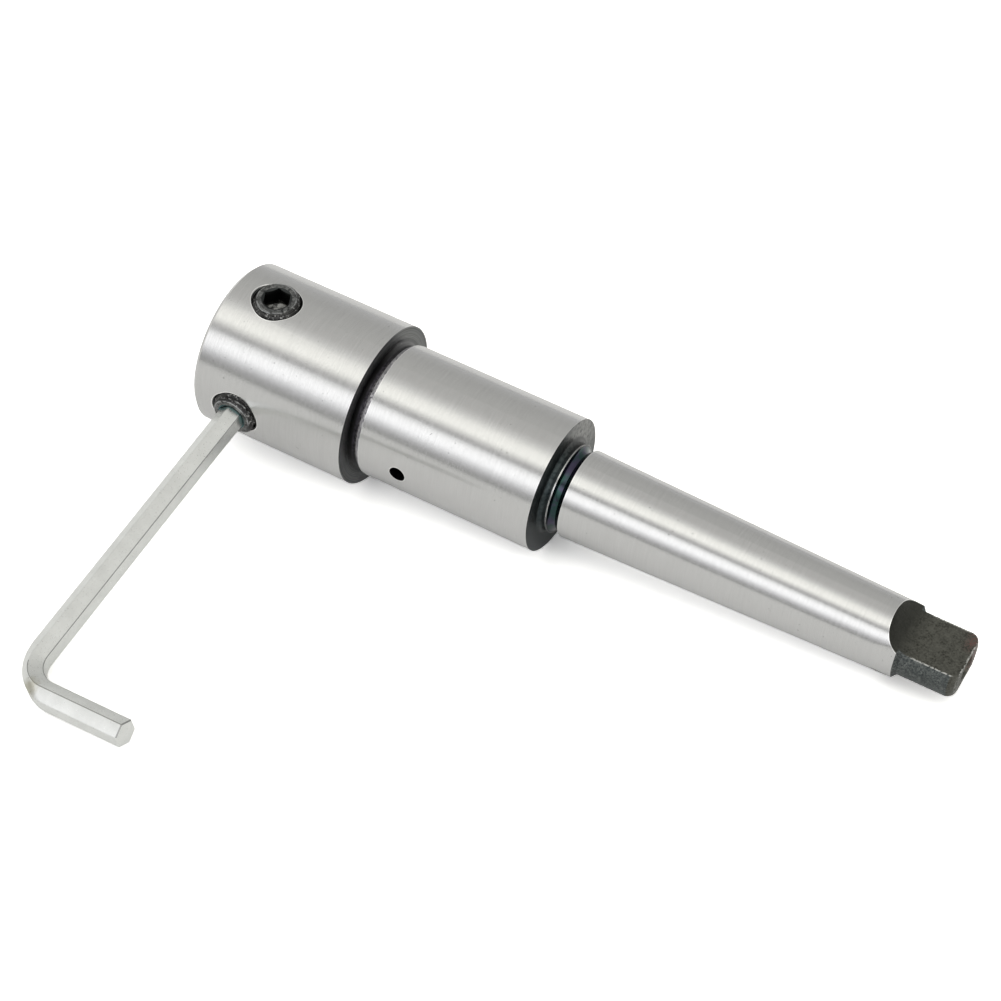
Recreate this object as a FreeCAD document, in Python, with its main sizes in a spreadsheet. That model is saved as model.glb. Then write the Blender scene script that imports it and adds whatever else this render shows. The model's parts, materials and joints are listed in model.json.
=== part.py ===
import FreeCAD, Part
import math
import os

import Sketcher
from FreeCAD import Placement, Rotation, Vector

# Annular cutter arbor on a No. 2 Morse taper shank, lying on a flat surface
# with its hex key standing in one of its two clamping screws.
#
# The arbor is drawn along its own axis: X is 0 at the front face and grows
# towards the tang, the upper clamping screw points along +Z and the side
# screw, the key and the coolant hole along -Y. The resting pose puts the
# place on the axis where the bore's wall starts at the origin.

NODE_FOLDER = "parts"

# Driving sizes, in millimetres and degrees
SIZES = {
    # Head with the cutter's bore
    "head_dia": 33.3,
    "head_length": 33.7,
    "front_chamfer": 0.8,
    "bore_dia": 19.07,
    "bore_depth": 35.0,
    "bore_chamfer": 0.8,
    # Clamping screws, 3/8 in, and their tapped holes
    "screw_station": 9.8,
    "screw_spacing": 90.0,
    "thread_dia": 9.4,
    "thread_clearance": 0.1,
    "mouth_chamfer": 0.43,
    "screw_length": 7.6,
    "top_screw_proud": 0.65,
    "side_screw_proud": 1.0,
    "screw_chamfer": 0.8,
    "point_dia": 6.4,
    "point_length": 1.2,
    "socket_width": 4.98,
    "socket_depth": 4.0,
    "socket_mouth_dia": 6.1,
    "socket_mouth_slope": 60.0,
    "top_screw_turn": 23.5,
    # Neck behind the head and the seat of the coolant ring
    "neck_dia": 25.6,
    "neck_length": 1.6,
    "neck_fillet": 1.0,
    "seat_dia": 27.44,
    "seat_length": 38.0,
    "seat_lead": 0.9,
    "seat_lead_drop": 0.62,
    "coolant_station": 45.0,
    "coolant_dia": 3.4,
    # Land and relief groove in front of the taper
    "land_rise": 0.12,
    "land_length": 1.8,
    "land_fillet": 0.9,
    "relief_width": 2.3,
    "relief_depth": 1.0,
    "relief_radius": 1.2,
    # No. 2 Morse taper and its tang
    "taper_dia": 18.0,
    "taper_length": 68.35,
    "taper_ratio": 20.02,
    "shoulder_length": 0.7,
    "tang_dia": 12.7,
    "tang_length": 11.75,
    "tang_thickness": 6.3,
    "tang_flat_length": 9.45,
    "tang_fillet": 1.8,
    "mill_radius": 5.8,
    "centre_mouth_dia": 4.9,
    "centre_drill_dia": 2.0,
    "centre_drill_depth": 5.0,
    "centre_half_angle": 30.0,
    # Half the point angle of the twist drills that start the blind holes
    "drill_half_angle": 59.0,
    # Ejector chamber, snap ring, plunger and spring
    "chamber_dia": 11.0,
    "chamber_length": 65.0,
    "ring_thickness": 1.2,
    "ring_groove_dia": 12.0,
    "ring_inner_dia": 9.6,
    "ring_setback": 1.4,
    "ring_gap": 30.0,
    "seat_gap": 0.03,
    "plunger_clearance": 0.15,
    "plunger_length": 12.0,
    "nose_dia": 9.0,
    "nose_length": 1.6,
    "spigot_dia": 6.0,
    "spigot_length": 6.0,
    "spring_wire": 1.2,
    "spring_mean_dia": 8.0,
    "spring_turns": 8.0,
    "spring_wire_sides": 8.0,
    # Hex key, 3/16 in, standing in the side screw
    "key_width": 4.76,
    "key_long_arm": 74.1,
    "key_short_arm": 25.4,
    "key_bend": 8.4,
    "key_bend_angle": 87.0,
    "key_turn": 10.0,
    "key_tip_over": 3.4,
    "key_chamfer": 0.35,
    "key_tip_clearance": 0.1,
}

doc = FreeCAD.newDocument("annular_cutter_arbor")
sheet = doc.addObject("Spreadsheet::Sheet", "Sizes")
for row, (alias, number) in enumerate(SIZES.items(), start=1):
    sheet.set(f"A{row}", alias)
    sheet.set(f"B{row}", str(number))
    sheet.setAlias(f"B{row}", alias)
doc.recompute()

# Lengths along the arbor's axis and radii, as expressions of the sheet
HEAD_RADIUS = "Sizes.head_dia / 2"
BORE_RADIUS = "Sizes.bore_dia / 2"
NECK_RADIUS = "Sizes.neck_dia / 2"
SEAT_RADIUS = "Sizes.seat_dia / 2"
LAND_RADIUS = "(Sizes.taper_dia / 2 + Sizes.land_rise)"
RELIEF_RADIUS = "(Sizes.taper_dia / 2 - Sizes.relief_depth)"
TANG_RADIUS = "Sizes.tang_dia / 2"
CHAMBER_RADIUS = "Sizes.chamber_dia / 2"
HOLE_RADIUS = "(Sizes.thread_dia / 2 + Sizes.thread_clearance)"
SEAT_START = "(Sizes.head_length + Sizes.neck_length)"
SEAT_END = f"({SEAT_START} + Sizes.seat_length)"
LAND_END = f"({SEAT_END} + Sizes.land_length)"
TAPER_START = f"({LAND_END} + Sizes.relief_width)"
TAPER_END = f"({TAPER_START} + Sizes.taper_length)"
TAPER_END_RADIUS = "(Sizes.taper_dia - Sizes.taper_length / Sizes.taper_ratio) / 2"
TANG_END = f"({TAPER_END} + Sizes.tang_length)"
RING_PLACE = "(Sizes.bore_depth + Sizes.ring_setback)"
PLUNGER_FRONT = f"({RING_PLACE} + Sizes.ring_thickness / 2 + Sizes.seat_gap)"
CHAMBER_END = "(Sizes.bore_depth + Sizes.chamber_length)"
DRILL_SLOPE = "tan(Sizes.drill_half_angle * 1 deg)"
BEND_REACH = "(Sizes.key_bend * tan(Sizes.key_bend_angle / 2 * 1 deg))"
SOCKET_MIDDLE = f"({HEAD_RADIUS} + Sizes.side_screw_proud - Sizes.socket_depth / 2)"

# Angle of a hexagon's first corner when a flat faces +X
HEX_CORNER = 30.0
# How far a cut is drawn beyond the surface that it opens
CUT_MARGIN = 1.0
# How near an edge must lie to the place and radius by which it is looked up
EDGE_TOLERANCE = 0.01
# A cut must take away more than this, in cubic millimetres
LEAST_CUT = 1e-3
# Rolls between which the resting pose is looked for, in degrees
ROLL_RANGE = (-10.0, 30.0)
ROLL_HALVINGS = 40
# Points on each corner line of the key's bend that may touch the surface
BEND_POINTS = 60


def size(expression):
    """Value of an expression of the sheet's aliases."""
    return float(sheet.evalExpression(expression.replace("Sizes.", "")))


def make_body(name):
    body = doc.addObject("PartDesign::Body", name)
    body.Label = name
    return body


def origin_part(body, role):
    for feature in body.Origin.OriginFeatures:
        if feature.Role == role:
            return feature
    raise RuntimeError(f"no {role} in {body.Label}")


def make_sketch(body, name, plane):
    sketch = body.newObject("Sketcher::SketchObject", name)
    sketch.AttachmentSupport = (origin_part(body, plane), "")
    sketch.MapMode = "FlatFace"
    return sketch


def bind(sketch, constraint, expression):
    """Add a constraint whose value follows an expression."""
    number = sketch.addConstraint(constraint)
    sketch.setExpression(f"Constraints[{number}]", expression)


def pin(sketch, geometry, point, x, y):
    """Hold a point of a sketch at two expressions, measured from its origin."""
    for kind, expression in (("DistanceX", x), ("DistanceY", y)):
        constraint = Sketcher.Constraint(kind, -1, 1, geometry, point, size(expression))
        bind(sketch, constraint, expression)


def outline(sketch, corners):
    """Closed outline of straight lines through corners given as expressions."""
    points = [Vector(size(x), size(y), 0) for x, y in corners]
    first = sketch.GeometryCount
    count = len(points)
    for place in range(count):
        line = Part.LineSegment(points[place], points[(place + 1) % count])
        sketch.addGeometry(line)
    for place in range(count):
        following = first + (place + 1) % count
        sketch.addConstraint(Sketcher.Constraint("Coincident", first + place, 2, following, 1))
    for place, (x, y) in enumerate(corners):
        pin(sketch, first + place, 1, x, y)


def circle(sketch, x, y, radius):
    """Circle whose centre and radius are expressions."""
    shape = Part.Circle(Vector(size(x), size(y), 0), Vector(0, 0, 1), size(radius))
    number = sketch.addGeometry(shape)
    pin(sketch, number, 3, x, y)
    bind(sketch, Sketcher.Constraint("Radius", number, size(radius)), radius)


def polygon(sides, radius, x="0", y="0", start=0.0):
    """Corners of a regular polygon about a centre, the first one at an angle from +X."""
    steps = [start + 360 / sides * place for place in range(sides)]
    return [(f"{x} + {radius} * cos({step} deg)", f"{y} + {radius} * sin({step} deg)")
            for step in steps]


def hexagon(width):
    """Corners of a hexagon of this width across flats, one pair of flats facing +X and -X."""
    return polygon(6, f"{width} / sqrt(3)", start=HEX_CORNER)


def turned(body, name, sketch, kind, axis="H_Axis"):
    """Revolve a sketch all round one of its axes, as a solid or as a cut."""
    feature = body.newObject(kind, name)
    feature.Profile = sketch
    feature.ReferenceAxis = (sketch, [axis])
    feature.Angle = 360
    doc.recompute()
    return feature


def ring_edges(shape, place, radius):
    """Names of the circular edges about the X axis at a place and radius."""
    names = []
    for number, edge in enumerate(shape.Edges, start=1):
        curve = edge.Curve
        if not isinstance(curve, Part.Circle):
            continue
        same_place = abs(curve.Center.x - place) < EDGE_TOLERANCE
        same_radius = abs(curve.Radius - radius) < EDGE_TOLERANCE
        if same_place and same_radius and abs(curve.Axis.x) > 1 - EDGE_TOLERANCE:
            names.append(f"Edge{number}")
    return names


def round_corner(body, name, place, radius, fillet):
    """Fillet the circular corner at a place and radius on the arbor."""
    base = body.Tip
    feature = body.newObject("PartDesign::Fillet", name)
    feature.Base = (base, ring_edges(base.Shape, size(place), size(radius)))
    feature.setExpression("Radius", fillet)
    doc.recompute()


def must_remove(body, before, name):
    """Stop if a cut took nothing away."""
    if body.Shape.Volume > before - LEAST_CUT:
        raise RuntimeError(f"{name} cuts nothing")


def cut_hole(body, name, station, radius, outer, chamfer):
    """Round hole along +Z from the arbor's axis, with a chamfered mouth."""
    before = body.Shape.Volume
    sketch = make_sketch(body, f"{name}_outline", "XZ_Plane")
    mouth = f"({radius} + {chamfer})"
    outline(sketch, [
        (station, "0"),
        (f"{station} + {radius}", "0"),
        (f"{station} + {radius}", f"{outer} - {chamfer}"),
        (f"{station} + {mouth} + {CUT_MARGIN}", f"{outer} + {CUT_MARGIN}"),
        (station, f"{outer} + {CUT_MARGIN}"),
    ])
    start = Vector(size(station), 0, 0)
    end = Vector(size(station), size(outer), 0)
    axis = sketch.addGeometry(Part.LineSegment(start, end), True)
    pin(sketch, axis, 1, station, "0")
    pin(sketch, axis, 2, station, outer)
    hole = turned(body, name, sketch, "PartDesign::Groove", "Axis0")
    must_remove(body, before, name)
    return hole


def make_arbor():
    body = make_body("arbor_body")
    profile = make_sketch(body, "outer_profile", "XZ_Plane")
    lead_radius = f"{SEAT_RADIUS} - Sizes.seat_lead_drop"
    outline(profile, [
        ("0", "0"),
        ("0", f"{HEAD_RADIUS} - Sizes.front_chamfer"),
        ("Sizes.front_chamfer", HEAD_RADIUS),
        ("Sizes.head_length", HEAD_RADIUS),
        ("Sizes.head_length", NECK_RADIUS),
        (SEAT_START, NECK_RADIUS),
        (SEAT_START, lead_radius),
        (f"{SEAT_START} + Sizes.seat_lead", SEAT_RADIUS),
        (SEAT_END, SEAT_RADIUS),
        (SEAT_END, LAND_RADIUS),
        (LAND_END, LAND_RADIUS),
        (LAND_END, "Sizes.taper_dia / 2"),
        (TAPER_START, "Sizes.taper_dia / 2"),
        (TAPER_END, TAPER_END_RADIUS),
        (f"{TAPER_END} + Sizes.shoulder_length", TANG_RADIUS),
        (TANG_END, TANG_RADIUS),
        (TANG_END, "0"),
    ])
    turned(body, "turned_blank", profile, "PartDesign::Revolution")
    round_corner(body, "tang_corner", TANG_END, TANG_RADIUS, "Sizes.tang_fillet")
    round_corner(body, "neck_corner", "Sizes.head_length", NECK_RADIUS, "Sizes.neck_fillet")
    round_corner(body, "land_corner", SEAT_END, LAND_RADIUS, "Sizes.land_fillet")
    cut_relief(body)
    cut_bore(body)
    cut_centre_hole(body)
    cut_screw_holes(body)
    cut_coolant_hole(body)
    cut_tang(body)
    return body


def cut_relief(body):
    """Round-bottomed grinding relief between the land and the taper."""
    before = body.Shape.Volume
    sketch = make_sketch(body, "relief_circle", "XZ_Plane")
    circle(sketch, f"{LAND_END} + Sizes.relief_width / 2",
           f"{RELIEF_RADIUS} + Sizes.relief_radius", "Sizes.relief_radius")
    turned(body, "relief_groove", sketch, "PartDesign::Groove")
    must_remove(body, before, "relief_groove")


def cut_bore(body):
    """Bore for the cutter's shank, and the ejector's chamber and ring groove behind it."""
    before = body.Shape.Volume
    sketch = make_sketch(body, "bore_profile", "XZ_Plane")
    groove_radius = "(Sizes.ring_groove_dia / 2 + Sizes.seat_gap)"
    groove_half = "(Sizes.ring_thickness / 2 + Sizes.seat_gap)"
    cone_depth = f"{CHAMBER_RADIUS} / {DRILL_SLOPE}"
    outline(sketch, [
        (f"-{CUT_MARGIN}", "0"),
        (f"-{CUT_MARGIN}", f"{BORE_RADIUS} + Sizes.bore_chamfer + {CUT_MARGIN}"),
        ("Sizes.bore_chamfer", BORE_RADIUS),
        ("Sizes.bore_depth", BORE_RADIUS),
        ("Sizes.bore_depth", CHAMBER_RADIUS),
        (f"{RING_PLACE} - {groove_half}", CHAMBER_RADIUS),
        (f"{RING_PLACE} - {groove_half}", groove_radius),
        (f"{RING_PLACE} + {groove_half}", groove_radius),
        (f"{RING_PLACE} + {groove_half}", CHAMBER_RADIUS),
        (CHAMBER_END, CHAMBER_RADIUS),
        (f"{CHAMBER_END} + {cone_depth}", "0"),
    ])
    turned(body, "bore_and_chamber", sketch, "PartDesign::Groove")
    must_remove(body, before, "bore_and_chamber")


def cut_centre_hole(body):
    """Lathe centre in the end of the tang: a drilled hole with a 60 degree mouth."""
    before = body.Shape.Volume
    sketch = make_sketch(body, "centre_profile", "XZ_Plane")
    mouth = "Sizes.centre_mouth_dia / 2"
    drill = "Sizes.centre_drill_dia / 2"
    slope = "tan(Sizes.centre_half_angle * 1 deg)"
    outline(sketch, [
        (f"{TANG_END} + {CUT_MARGIN}", "0"),
        (f"{TANG_END} + {CUT_MARGIN}", f"{mouth} + {CUT_MARGIN} * {slope}"),
        (f"{TANG_END} - ({mouth} - {drill}) / {slope}", drill),
        (f"{TANG_END} - Sizes.centre_drill_depth", drill),
        (f"{TANG_END} - Sizes.centre_drill_depth - {drill} / {DRILL_SLOPE}", "0"),
    ])
    turned(body, "centre_hole", sketch, "PartDesign::Groove")
    must_remove(body, before, "centre_hole")


def cut_screw_holes(body):
    """Two tapped holes for the clamping screws, round the axis from +Z to -Y."""
    hole = cut_hole(body, "screw_hole", "Sizes.screw_station", HOLE_RADIUS,
                    HEAD_RADIUS, "Sizes.mouth_chamfer")
    before = body.Shape.Volume
    pattern = body.newObject("PartDesign::PolarPattern", "screw_holes")
    pattern.Originals = [hole]
    pattern.Axis = (origin_part(body, "X_Axis"), [""])
    pattern.Mode = "Spacing"
    pattern.setExpression("Offset", "Sizes.screw_spacing")
    pattern.Occurrences = 2
    body.Tip = pattern
    doc.recompute()
    must_remove(body, before, "screw_holes")


def cut_coolant_hole(body):
    """Coolant hole from the ring's seat into the chamber, in line with the side screw."""
    before = body.Shape.Volume
    sketch = make_sketch(body, "coolant_circle", "XZ_Plane")
    circle(sketch, "Sizes.coolant_station", "0", "Sizes.coolant_dia / 2")
    pocket = body.newObject("PartDesign::Pocket", "coolant_hole")
    pocket.Profile = sketch
    pocket.Reversed = True
    pocket.setExpression("Length", f"{SEAT_RADIUS} + {CUT_MARGIN}")
    doc.recompute()
    must_remove(body, before, "coolant_hole")
    inside_hole = Vector(size("Sizes.coolant_station"), CUT_MARGIN - size(SEAT_RADIUS), 0)
    if body.Shape.isInside(inside_hole, EDGE_TOLERANCE, True):
        raise RuntimeError("coolant_hole is on the wrong side")


def cut_tang(body):
    """Two milled flats whose cutter runs out in an arc into the end of the taper."""
    before = body.Shape.Volume
    sketch = make_sketch(body, "tang_flat_outline", "XZ_Plane")
    flat = "Sizes.tang_thickness / 2"
    high = f"({flat} + Sizes.mill_radius)"
    turn = f"({TANG_END} - Sizes.tang_flat_length)"
    far = f"({TANG_END} + {CUT_MARGIN})"
    centre = Vector(size(turn), size(high), 0)
    corners = [(turn, flat), (far, flat), (far, high), (f"{turn} - Sizes.mill_radius", high)]
    points = [Vector(size(x), size(y), 0) for x, y in corners]
    for start, end in zip(points[:-1], points[1:]):
        sketch.addGeometry(Part.LineSegment(start, end))
    run_out = Part.Circle(centre, Vector(0, 0, 1), size("Sizes.mill_radius"))
    arc = sketch.addGeometry(Part.ArcOfCircle(run_out, math.pi, 1.5 * math.pi))
    last = len(points) - 2
    for line in range(last):
        sketch.addConstraint(Sketcher.Constraint("Coincident", line, 2, line + 1, 1))
    sketch.addConstraint(Sketcher.Constraint("Coincident", last, 2, arc, 1))
    sketch.addConstraint(Sketcher.Constraint("Coincident", arc, 2, 0, 1))
    for line, (x, y) in enumerate(corners[:-1]):
        pin(sketch, line, 1, x, y)
    pin(sketch, arc, 3, turn, high)
    sketch.addConstraint(Sketcher.Constraint("Horizontal", last))
    pocket = body.newObject("PartDesign::Pocket", "tang_flat")
    pocket.Profile = sketch
    pocket.Type = "ThroughAll"
    pocket.Midplane = True
    doc.recompute()
    must_remove(body, before, "tang_flat")
    before = body.Shape.Volume
    mirrored = body.newObject("PartDesign::Mirrored", "tang_flats")
    mirrored.Originals = [pocket]
    mirrored.MirrorPlane = (origin_part(body, "XY_Plane"), [""])
    body.Tip = mirrored
    doc.recompute()
    must_remove(body, before, "tang_flats")


def make_screw(name):
    """Grub screw along +Z: flat point at Z 0, chamfered outer end with a hex socket."""
    body = make_body(name)
    crest = "Sizes.thread_dia / 2"
    profile = make_sketch(body, f"{name}_profile", "XZ_Plane")
    outline(profile, [
        ("0", "0"),
        ("Sizes.point_dia / 2", "0"),
        (crest, "Sizes.point_length"),
        (crest, "Sizes.screw_length - Sizes.screw_chamfer"),
        (f"{crest} - Sizes.screw_chamfer", "Sizes.screw_length"),
        ("0", "Sizes.screw_length"),
    ])
    turned(body, f"{name}_blank", profile, "PartDesign::Revolution", "V_Axis")
    before = body.Shape.Volume
    socket = make_sketch(body, f"{name}_socket_outline", "XY_Plane")
    socket.setExpression("AttachmentOffset.Base.z", "Sizes.screw_length")
    outline(socket, hexagon("Sizes.socket_width"))
    pocket = body.newObject("PartDesign::Pocket", f"{name}_socket")
    pocket.Profile = socket
    pocket.setExpression("Length", "Sizes.socket_depth")
    doc.recompute()
    must_remove(body, before, f"{name}_socket")
    cut_socket_cone(body, name)
    cut_socket_mouth(body, name)
    return body


def cut_socket_cone(body, name):
    """Broached sockets start as a drilled hole: its cone is left at the bottom."""
    before = body.Shape.Volume
    floor = "(Sizes.screw_length - Sizes.socket_depth)"
    radius = "Sizes.socket_width / 2"
    cone = make_sketch(body, f"{name}_cone_profile", "XZ_Plane")
    outline(cone, [
        ("0", f"{floor} - {radius} / {DRILL_SLOPE}"),
        (radius, floor),
        ("0", floor),
    ])
    turned(body, f"{name}_cone", cone, "PartDesign::Groove", "V_Axis")
    must_remove(body, before, f"{name}_cone")


def cut_socket_mouth(body, name):
    """Countersink round the socket, shallow enough to meet the flats on the way down."""
    before = body.Shape.Volume
    mouth = "Sizes.socket_mouth_dia / 2"
    slope = "tan(Sizes.socket_mouth_slope * 1 deg)"
    sketch = make_sketch(body, f"{name}_mouth_profile", "XZ_Plane")
    outline(sketch, [
        ("0", f"Sizes.screw_length - {mouth} / {slope}"),
        (mouth, "Sizes.screw_length"),
        ("0", "Sizes.screw_length"),
    ])
    turned(body, f"{name}_mouth", sketch, "PartDesign::Groove", "V_Axis")
    must_remove(body, before, f"{name}_mouth")


def make_key():
    """Hex key swept along +Z, round its bend and out along +X, both ends chamfered."""
    body = make_body("hex_key")
    section = make_sketch(body, "key_section", "XY_Plane")
    outline(section, hexagon("Sizes.key_width"))
    spine = make_sketch(body, "key_spine", "XZ_Plane")
    across = "sin(Sizes.key_bend_angle * 1 deg)"
    along = "cos(Sizes.key_bend_angle * 1 deg)"
    bend_start = ("0", f"Sizes.key_long_arm - {BEND_REACH}")
    bend_end = (f"{BEND_REACH} * {across}", f"Sizes.key_long_arm + {BEND_REACH} * {along}")
    tip = (f"Sizes.key_short_arm * {across}",
           f"Sizes.key_long_arm + Sizes.key_short_arm * {along}")
    low, high, far = [Vector(size(x), size(y), 0) for x, y in (bend_start, bend_end, tip)]
    radius = size("Sizes.key_bend")
    bend = Part.Circle(low + Vector(radius, 0, 0), Vector(0, 0, 1), radius)
    turn = math.radians(size("Sizes.key_bend_angle"))
    spine.addGeometry(Part.LineSegment(Vector(0, 0, 0), low))
    spine.addGeometry(Part.ArcOfCircle(bend, math.pi - turn, math.pi))
    spine.addGeometry(Part.LineSegment(high, far))
    pin(spine, 0, 1, "0", "0")
    spine.addConstraint(Sketcher.Constraint("Coincident", 0, 2, 1, 2))
    spine.addConstraint(Sketcher.Constraint("Coincident", 1, 1, 2, 1))
    pin(spine, 0, 2, *bend_start)
    bind(spine, Sketcher.Constraint("Radius", 1, radius), "Sizes.key_bend")
    pin(spine, 2, 1, *bend_end)
    pin(spine, 2, 2, *tip)
    pipe = body.newObject("PartDesign::AdditivePipe", "key_bar")
    pipe.Profile = section
    pipe.Spine = (spine, ["Edge1", "Edge2", "Edge3"])
    doc.recompute()
    chamfer = body.newObject("PartDesign::Chamfer", "key_ends")
    chamfer.Base = (pipe, end_faces(pipe.Shape))
    chamfer.setExpression("Size", "Sizes.key_chamfer")
    doc.recompute()
    return body


def end_faces(shape):
    """Names of the two hexagonal end faces of the key."""
    names = []
    for number, face in enumerate(shape.Faces, start=1):
        if len(face.Edges) == 6:
            names.append(f"Face{number}")
    return names


def make_plunger():
    """Ejector plunger along +X: nose inside the ring, piston, and spigot for the spring."""
    body = make_body("ejector_plunger")
    profile = make_sketch(body, "plunger_profile", "XZ_Plane")
    piston = f"{CHAMBER_RADIUS} - Sizes.plunger_clearance"
    nose = "Sizes.nose_dia / 2"
    spigot = "Sizes.spigot_dia / 2"
    outline(profile, [
        ("-Sizes.nose_length", "0"),
        ("-Sizes.nose_length", nose),
        ("0", nose),
        ("0", piston),
        ("Sizes.plunger_length", piston),
        ("Sizes.plunger_length", spigot),
        ("Sizes.plunger_length + Sizes.spigot_length", spigot),
        ("Sizes.plunger_length + Sizes.spigot_length", "0"),
    ])
    turned(body, "plunger_blank", profile, "PartDesign::Revolution")
    return body


def make_spring():
    """Compression spring along +Z, from the plunger's shoulder to the chamber's drilled end."""
    body = make_body("ejector_spring")
    wire = make_sketch(body, "spring_wire_section", "XZ_Plane")
    radius = "Sizes.spring_wire / 2"
    coil_radius = "Sizes.spring_mean_dia / 2"
    sides = round(size("Sizes.spring_wire_sides"))
    outline(wire, polygon(sides, radius, coil_radius, radius))
    coil = body.newObject("PartDesign::AdditiveHelix", "spring_coil")
    coil.Profile = wire
    coil.ReferenceAxis = (wire, ["V_Axis"])
    coil.Mode = "height-turns-angle"
    cone_reach = f"({CHAMBER_RADIUS} - {coil_radius}) / {DRILL_SLOPE}"
    wire_reach = f"{radius} / sin(Sizes.drill_half_angle * 1 deg) + Sizes.seat_gap"
    shoulder = f"({PLUNGER_FRONT} + Sizes.plunger_length)"
    coil.setExpression("Height",
                       f"{CHAMBER_END} + {cone_reach} - {wire_reach} - {shoulder} - {radius}")
    coil.setExpression("Turns", "Sizes.spring_turns")
    doc.recompute()
    return body


def make_ring():
    """Open snap ring about the X axis that keeps the plunger in its chamber."""
    body = make_body("retaining_ring")
    section = make_sketch(body, "ring_section", "XZ_Plane")
    half = "Sizes.ring_thickness / 2"
    outer = "Sizes.ring_groove_dia / 2"
    inner = "Sizes.ring_inner_dia / 2"
    outline(section, [(f"-{half}", inner), (half, inner), (half, outer), (f"-{half}", outer)])
    sweep = turned(body, "ring_sweep", section, "PartDesign::Revolution")
    sweep.setExpression("Angle", "360 - Sizes.ring_gap")
    doc.recompute()
    return body


def nose_up_angle():
    """Slope of the axis when the head and the seat both rest on their rear edges."""
    drop = size(HEAD_RADIUS) - size(SEAT_RADIUS)
    return math.degrees(math.atan2(drop, size(SEAT_END) - size("Sizes.head_length")))


def key_rest_points():
    """Points on the corner lines of the key's bend and ends, in the arbor's own frame."""
    corner = size("Sizes.key_width") / math.sqrt(3)
    bend = size("Sizes.key_bend")
    turn = math.radians(size("Sizes.key_bend_angle"))
    low = Vector(0, 0, size(f"Sizes.key_long_arm - {BEND_REACH}"))
    stations = []
    for step in range(BEND_POINTS + 1):
        part_turn = turn * step / BEND_POINTS
        inward = Vector(math.cos(part_turn), 0, -math.sin(part_turn))
        stations.append((low + Vector(bend, 0, 0) - inward * bend, inward))
    reach = size(f"Sizes.key_short_arm - {BEND_REACH} - Sizes.key_chamfer")
    last, inward = stations[-1]
    stations.append((last + Vector(math.sin(turn), 0, math.cos(turn)) * reach, inward))
    points = []
    for centre, inward in stations:
        for side in range(6):
            angle = math.radians(HEX_CORNER + 60 * side)
            offset = inward * math.cos(angle) + Vector(0, math.sin(angle), 0)
            points.append(centre + offset * corner)
    return [key_placement().multVec(point) for point in points]


def key_placement():
    """Place of the key, tipped over about the middle of its socket by their clearance."""
    over = Rotation(Vector(1, 0, 0), size("Sizes.key_tip_over"))
    turn = Rotation(Vector(0, 0, 1), size("Sizes.key_turn"))
    pivot = Placement(Vector(0, 0, size(SOCKET_MIDDLE)), over * turn)
    tip = size("Sizes.key_tip_clearance - Sizes.socket_depth / 2")
    return side_screw_frame() * pivot * Placement(Vector(0, 0, tip), Rotation())


def side_screw_frame():
    """Frame whose +Z is the side screw's axis and whose +X is the arbor's."""
    station = Vector(size("Sizes.screw_station"), 0, 0)
    return Placement(station, Rotation(Vector(1, 0, 0), size("Sizes.screw_spacing")))


def side_screw_axis():
    """The side screw's frame, turned as the key stands in it."""
    turn = Rotation(Vector(0, 0, 1), size("Sizes.key_turn"))
    return side_screw_frame() * Placement(Vector(0, 0, 0), turn)


def top_screw_axis():
    station = Vector(size("Sizes.screw_station"), 0, 0)
    return Placement(station, Rotation(Vector(0, 0, 1), size("Sizes.top_screw_turn")))


def resting_rotation(roll):
    """Nose-up slope after a roll of the arbor about its own axis."""
    slope = Rotation(Vector(0, 1, 0), nose_up_angle())
    return slope * Rotation(Vector(1, 0, 0), roll)


def resting_roll():
    """Roll at which the key's free end comes down to the surface, found by halving."""
    radius = size(HEAD_RADIUS)
    floor = resting_rotation(0).multVec(Vector(size("Sizes.head_length"), 0, -radius)).z
    points = key_rest_points()
    low, high = ROLL_RANGE
    for _ in range(ROLL_HALVINGS):
        middle = (low + high) / 2
        lowest = min(resting_rotation(middle).multVec(point).z for point in points)
        if lowest > floor:
            low = middle
        else:
            high = middle
    return low


def screw_place(proud):
    """Place of a screw on its own axis, its outer end this far out of the head."""
    end = size(f"{HEAD_RADIUS} + {proud} - Sizes.screw_length")
    return Placement(Vector(0, 0, end), Rotation())


def along_arbor(distance):
    """Place on the arbor's axis at a distance from the front face."""
    return Placement(Vector(size(distance), 0, 0), Rotation())


arbor = make_arbor()
top_screw = make_screw("top_grub_screw")
side_screw = make_screw("side_grub_screw")
key = make_key()
plunger = make_plunger()
spring = make_spring()
ring = make_ring()

laid_down = Placement(Vector(0, 0, 0), resting_rotation(resting_roll()))
rest = laid_down * along_arbor("-Sizes.bore_chamfer")
spring_turned = Placement(Vector(0, 0, 0), Rotation(Vector(0, 1, 0), 90))
arbor.Placement = rest
top_screw.Placement = rest * top_screw_axis() * screw_place("Sizes.top_screw_proud")
side_screw.Placement = rest * side_screw_axis() * screw_place("Sizes.side_screw_proud")
key.Placement = rest * key_placement()
plunger.Placement = rest * along_arbor(PLUNGER_FRONT)
spring.Placement = rest * along_arbor(f"{PLUNGER_FRONT} + Sizes.plunger_length") * spring_turned
ring.Placement = rest * along_arbor(RING_PLACE)
doc.recompute()

nodes = [arbor, top_screw, side_screw, key, plunger, spring, ring]
for item in doc.Objects:
    if "Invalid" in item.State or "Error" in item.State:
        raise RuntimeError(f"{item.Name} failed: {item.State}")
for node in nodes:
    if node.Shape.isNull() or not node.Shape.isValid():
        raise RuntimeError(f"{node.Label} has no valid shape")

os.makedirs(NODE_FOLDER, exist_ok=True)
for node in nodes:
    node.Shape.exportStep(f"{NODE_FOLDER}/{node.Label}.step")
    print(node.Label, round(node.Shape.Volume, 1), len(node.Shape.Solids))
print("nose-up angle", round(nose_up_angle(), 3), "roll", round(resting_roll(), 3))
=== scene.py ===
import json
import math

import bpy
from mathutils import Matrix, Vector


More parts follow.
